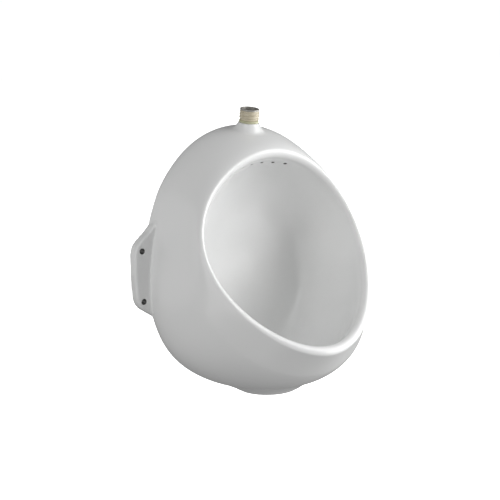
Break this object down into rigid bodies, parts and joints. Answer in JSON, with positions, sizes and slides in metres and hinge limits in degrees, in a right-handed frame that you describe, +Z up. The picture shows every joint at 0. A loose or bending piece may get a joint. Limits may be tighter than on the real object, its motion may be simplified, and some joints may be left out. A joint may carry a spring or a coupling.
{
  "type": "wall hung urinal",
  "caption": "Egg-shaped wall hung china urinal with rolled rim, open back, side screw ears, top threaded inlet nipple, wash holes and bottom outlet with a lift-out domed grid.",
  "frame": {"origin": "centre of the four wall screw holes, on the wall plane", "axes": "+Y into the wall, square to the ears' back faces; -Y is the front; +Z up along the height; X along the width, square to the mirror plane"},
  "size_m": [0.4284, 0.2856, 0.4974],
  "materials": {
    "china": "white glossy glaze",
    "cream_plastic": "cream moulded plastic",
    "lip_metal": "thin drawn steel",
    "seal_rubber": "pale yellow-green soft rubber",
    "black_rubber": "black rubber",
    "white_plastic": "slippery white plastic",
    "outlet_metal": "plated brass",
    "grid_metal": "pressed stainless steel"
  },
  "bodies": {
    "urinal": {"china_body": "china", "inlet_spud": "cream_plastic", "inlet_liner": "lip_metal", "inlet_grommet": "seal_rubber", "inlet_slip_ring": "white_plastic", "inlet_cone_nut": "cream_plastic", "waste_body": "outlet_metal", "waste_top_gasket": "black_rubber", "waste_bottom_gasket": "black_rubber", "waste_slip_ring": "white_plastic", "waste_locknut": "outlet_metal"},
    "strainer": {"drain_strainer": "grid_metal"}
  },
  "joints": [
    {"name": "strainer_lift", "type": "slide", "parent": "urinal", "child": "strainer", "axis": [0, 0, 1], "range_m": [0, 0.06]}
  ]
}
